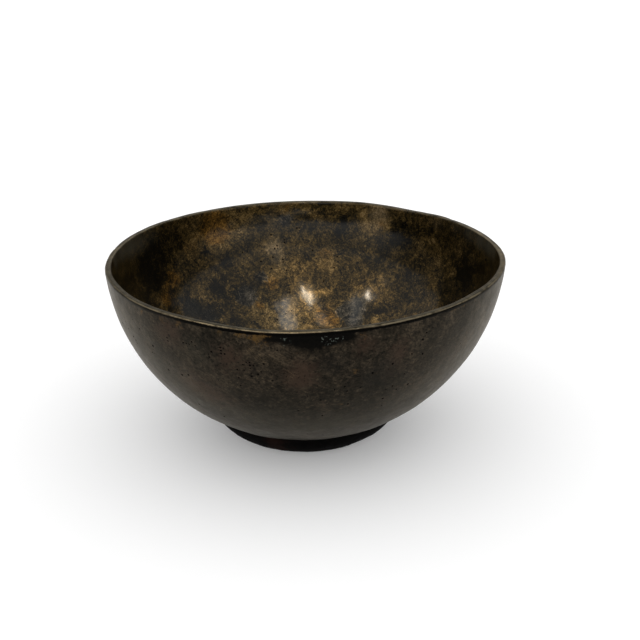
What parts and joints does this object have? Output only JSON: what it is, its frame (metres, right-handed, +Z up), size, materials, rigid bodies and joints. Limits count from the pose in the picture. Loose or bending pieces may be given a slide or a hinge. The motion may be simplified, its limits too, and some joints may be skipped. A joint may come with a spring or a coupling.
{
  "type": "footed bowl",
  "caption": "Cast bronze bowl with a rounded lip and a brazed foot ring, for serving or display, under a dark mottled patina.",
  "frame": {"origin": "centre of the circle that the foot ring rests on", "axes": "+Z up along the bowl's axis of turning; +X and +Y are free, because the shape is round"},
  "size_m": [0.2498, 0.2498, 0.1155],
  "materials": {
    "mottled_bronze": "satin cast bronze under a waxed, mottled dark brown patina with gold showing through",
    "dark_bronze": "near-black patina, brown where it is rubbed",
    "braze_filler": "dull tarnished brazing brass"
  },
  "bodies": {
    "root": {"bowl_body": "mottled_bronze", "foot_ring": "dark_bronze", "braze_fillet": "braze_filler"}
  },
  "joints": []
}
